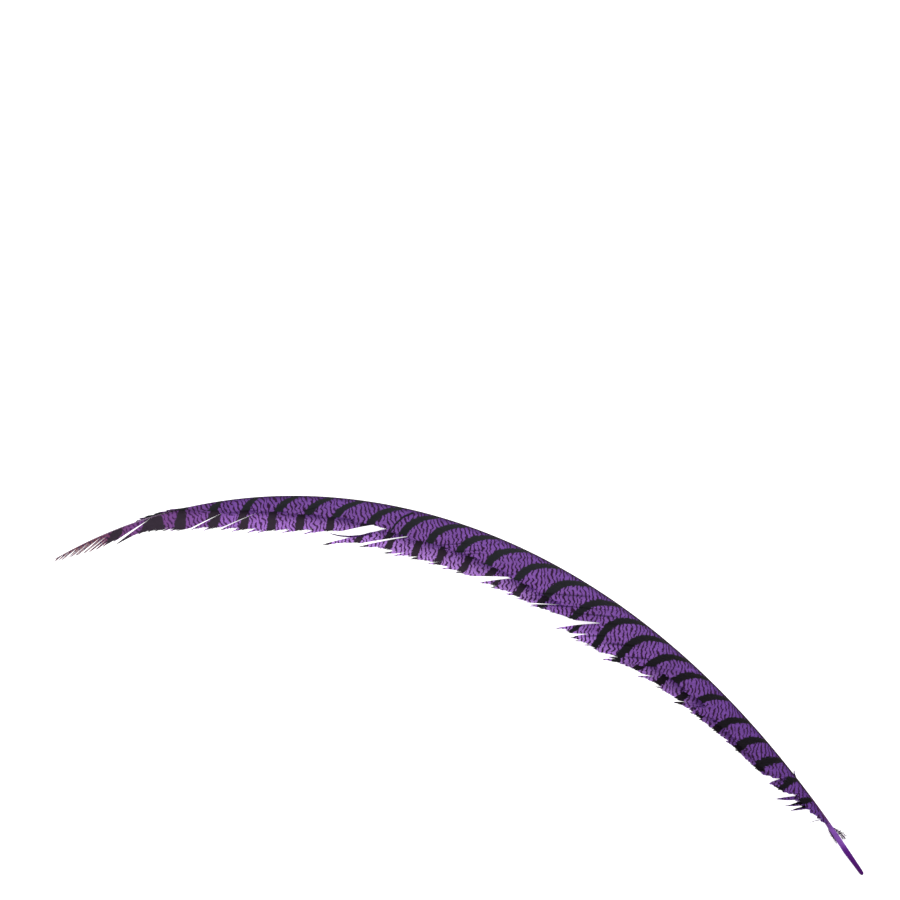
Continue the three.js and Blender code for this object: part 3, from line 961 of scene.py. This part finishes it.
def dyed_web(name, colours):
    material, tree, shader = start_material(name)
    stored = []
    for label in ("strand", "bars", "web"):
        values = add_node(tree, "Attribute", attribute_name=label).outputs["Vector"]
        stored.append(add_node(tree, "SeparateXYZ", {0: values}).outputs)
    (run, apart, luck), (number, room, _), (along, inward, depth) = stored
    flat = add_node(tree, "CombineXYZ", {"X": run, "Y": apart})

    # Fine lines: a bent wave, broken by a noise drawn out across the barbs
    noises = []
    for size in (BEND_SIZE, BREAK_SIZE):
        field = add_node(tree, "Mapping", {"Vector": flat, "Scale": (1 / size[0], 1 / size[1], 1.0)})
        noises.append(add_node(tree, "TexNoise", {"Vector": field, "Scale": 1.0, "Detail": 1.0}))
    bends, breaks = noises
    bent = add_node(tree, "Math", {0: bends, 1: BEND, 2: run}, operation="MULTIPLY_ADD")
    uneven = add_node(tree, "Math", {0: luck, 1: BARB_SHIFT, 2: bent}, operation="MULTIPLY_ADD")
    phase = add_node(tree, "Math", {0: uneven, 1: 2 * math.pi / LINE_PERIOD}, operation="MULTIPLY")
    wave = add_node(tree, "Math", {0: phase}, operation="SINE")
    broken = add_node(tree, "Math", {0: breaks, 1: BREAK_STRENGTH, 2: wave}, operation="MULTIPLY_ADD")
    levels = {"From Min": LINE_LEVELS[0], "From Max": LINE_LEVELS[1]}
    lines = add_node(tree, "MapRange", {"Value": broken, **levels}, interpolation_type="SMOOTHSTEP")

    # Bars: the distance from the nearest whole number, in half bar widths
    shifted = add_node(tree, "Math", {0: number, 1: 0.5}, operation="ADD")
    part = add_node(tree, "Math", {0: shifted}, operation="FRACT")
    centred = add_node(tree, "Math", {0: part, 1: 0.5}, operation="SUBTRACT")
    distance = add_node(tree, "Math", {0: centred, 1: room}, operation="MULTIPLY")
    either_side = add_node(tree, "Math", {0: distance}, operation="ABSOLUTE")
    frayed = add_node(tree, "Math", {0: breaks, 1: -BAR_FRAY, 2: either_side}, operation="MULTIPLY_ADD")
    jagged = add_node(tree, "Math", {0: luck, 1: BAR_JAG, 2: frayed}, operation="MULTIPLY_ADD")
    edge = {"From Min": BAR_EDGE[0], "From Max": BAR_EDGE[1], "To Min": 1.0, "To Max": 0.0}
    bar = add_node(tree, "MapRange", {"Value": jagged, **edge}, interpolation_type="SMOOTHSTEP")

    # Ground: darker at the root, paler away from the shaft, streaked by groups of barbs
    furthest = GROUND_STOPS[-1][0]
    how_far = add_node(tree, "MapRange", {"Value": inward, "From Max": furthest})
    across_web = add_node(tree, "ValToRGB", {"Fac": how_far})
    fill_ramp(across_web, [(mark / furthest, colours[label]) for mark, label in GROUND_STOPS])
    streaks = {"W": apart, "Scale": 1 / BARB_GROUP, "Detail": 2.0}
    groups = add_node(tree, "TexNoise", streaks, noise_dimensions="1D")
    patches = add_node(tree, "TexNoise", {"Vector": flat, "Scale": 1 / DYE_PATCH, "Detail": 2.0})
    mixed = add_node(tree, "Math", {0: groups, 1: patches}, operation="ADD")
    dyed = add_node(tree, "Math", {0: luck, 1: BARB_LUCK, 2: mixed}, operation="MULTIPLY_ADD")
    strength = add_node(tree, "MapRange", {"Value": dyed, **DYE_NOISE})
    ground = add_node(tree, "VectorMath", {0: across_web, 3: strength}, operation="SCALE")

    # The first barbs are the darkest, the last of the web are redder, and the wisps at the tip are brown
    for zone, begins, ends, at_first, at_last in WEB_ZONES:
        stretch = {"From Min": begins, "From Max": ends, "To Min": at_first, "To Max": at_last}
        factor = add_node(tree, "MapRange", {"Value": along, **stretch})
        layers = {"Factor": factor, 6: ground, 7: paint(colours[zone])}
        ground = add_node(tree, "Mix", layers, data_type="RGBA")
    layers = {"Factor": lines, 6: ground, 7: paint(colours["line"])}
    with_lines = add_node(tree, "Mix", layers, data_type="RGBA")
    stretch = {"From Min": BARS_PALE_OVER[0], "From Max": BARS_PALE_OVER[1]}
    paler = add_node(tree, "MapRange", {"Value": along, **stretch})
    layers = {"Factor": paler, 6: paint(colours["first bars"]), 7: paint(colours["bar"])}
    bar_melanin_and_sheen = add_node(tree, "Mix", layers, data_type="RGBA")
    with_bars = add_node(tree, "Mix", {"Factor": bar, 6: with_lines, 7: bar_melanin_and_sheen}, data_type="RGBA")

    # Painted shade: the shade value multiplies the colour by the face's deep violet 'shadow' colour, for the
    # light under the upper web that has come through a dyed web, and for the dark between parted barbs
    shade = add_node(tree, "Math", {0: depth, 1: SHADOW_DEPTH}, operation="MULTIPLY")
    layers = {"Factor": shade, 6: with_bars, 7: paint(colours["shadow"])}
    shaded = add_node(tree, "Mix", layers, data_type="RGBA", blend_type="MULTIPLY")

    # Melanin makes a barb harder and smoother, so the bars are glossier than the ground
    gloss = add_node(tree, "MapRange", {"Value": bar, "To Min": 0.7, "To Max": 0.5})
    barbules = add_node(tree, "TexNoise", {"Vector": flat, "Scale": 3.0, "Detail": 2.0})
    bump = add_node(tree, "Bump", {"Height": barbules, "Strength": 0.3, "Distance": 0.0001})
    fill_inputs(tree, shader, {"Base Color": shaded, "Roughness": gloss, "Normal": bump})
    fill_inputs(tree, shader, {"IOR": 1.5, "Specular IOR Level": 0.07})
    return material


outer_face = dyed_web("dyed_web_outer_face", OUTER_FACE)
inner_face = dyed_web("dyed_web_inner_face", INNER_FACE)
for piece, node, slot_name, faces_up, faces_down in (
    (lower_web, "lower_vane", "vane_inner", inner_face, outer_face),
    (upper_web, "upper_vane", "vane_outer", outer_face, inner_face),
    (loose_barbs, "upper_vane", "vane_outer", outer_face, inner_face),
):
    piece.data.materials.append(faces_up)
    piece.data.materials.append(faces_down)
    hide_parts(node)
    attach(piece, "root")

# %% [markdown]
# ## Down on the quill
#
# Below the webs a few barbs have no hooks. They are soft threads with finer threads on them, and lie back
# along the quill. Each is drawn as a curve of a few stations with side threads, all copies of the same barb,
# scaled to a hair's width.

# %% Down tufts
DOWN_THICKNESS = 0.2
DOWN_SIDE_THREAD = 0.12  # width of the finer threads, because the real 0.05 wouldn't show


def curl(start, heading, length, turn):
    """Stations of a thread in the plane: it starts there and turns by a few degrees in all."""
    angle = np.radians(heading + turn * BARB_MARKS)
    steps = np.diff(BARB_MARKS, prepend=0)[:, None] * length
    return np.asarray(start) + np.cumsum(steps * np.stack([np.cos(angle), np.sin(angle)], axis=-1), axis=0)


def make_tuft(name, side, threads):
    """side is -1 outside the bow and 1 inside it. Along runs to the tip, so threads lie back at about 180."""
    lines, widths = [], []
    for along, length, spread, turn, thread in threads:
        edge = full_width(along) if side > 0 else 0.0
        away = 180 - side * spread
        stem = curl((along, edge), away, length, side * turn)
        level = 0.5 * full_width(along) + dice.uniform(-0.3, 0.3)
        parts = [(stem, thread)]
        for mark in range(3, len(BARB_MARKS) - 2, 2):
            for way in (-1, 1):
                branch = away + way * dice.uniform(25, 60)
                reach = length * dice.uniform(0.15, 0.35)
                parts.append((curl(stem[mark], branch, reach, 0), DOWN_SIDE_THREAD))
        for flat_line, width in parts:
            height = level + dice.uniform(-0.25, 0.25) * BARB_MARKS
            lines.append(place(flat_line[:, 0], flat_line[:, 1], np.maximum(height, 0.1)))
            widths.append(np.full(len(BARB_MARKS), width))
    lines = np.stack(lines)
    facing = np.broadcast_to((0.0, 0.0, 1.0), lines.shape)
    return lay_strands(name, lines, facing, np.stack(widths), DOWN_THICKNESS, {})


# (where it grows, length, spread from the quill in degrees, how far it turns, width)
OUTSIDE_THREADS = (
    (29.5, 10, 26, 27, 0.5), (29, 8.5, 29, 32, 0.4), (28.5, 8, 38, 26, 0.25), (28, 7, 22, 32, 0.3),
    (27, 6, 34, 24, 0.2), (26, 5, 28, 30, 0.2),
)
INSIDE_THREADS = (
    (25, 4, 14, 10, 0.3), (27, 5, 12, 15, 0.4), (28, 4, 18, 20, 0.3), (29, 6, 10, 10, 0.4),
    (30, 4, 20, 20, 0.3), (31, 5, 14, 15, 0.4),
)
outside_tuft = make_tuft("outside_tuft", -1, OUTSIDE_THREADS)
inside_tuft = make_tuft("inside_tuft", 1, INSIDE_THREADS)


# %% Down material
DOWN_PATCHES = 900.0  # per metre, so patches of about 1 mm


def dyed_down():
    """Down has no hooks and little melanin: matt violet-brown threads."""
    material, tree, shader = start_material("dyed_down")
    where = add_node(tree, "TexCoord").outputs["Object"]
    patches = add_node(tree, "TexNoise", {"Vector": where, "Scale": DOWN_PATCHES, "Detail": 2.0})
    layers = {"Factor": patches, 6: paint("1E0E22"), 7: paint("4C2A50")}
    tint = add_node(tree, "Mix", layers, data_type="RGBA")
    fill_inputs(tree, shader, {"Base Color": tint, "Roughness": 0.85, "Specular IOR Level": 0.2})
    return material


down_material = dyed_down()
for piece, node in ((outside_tuft, "down_tuft_outside"), (inside_tuft, "down_tuft_inside")):
    piece.data.materials.append(down_material)
    piece.data.materials.append(down_material)
    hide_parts(node)
    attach(piece, "root")
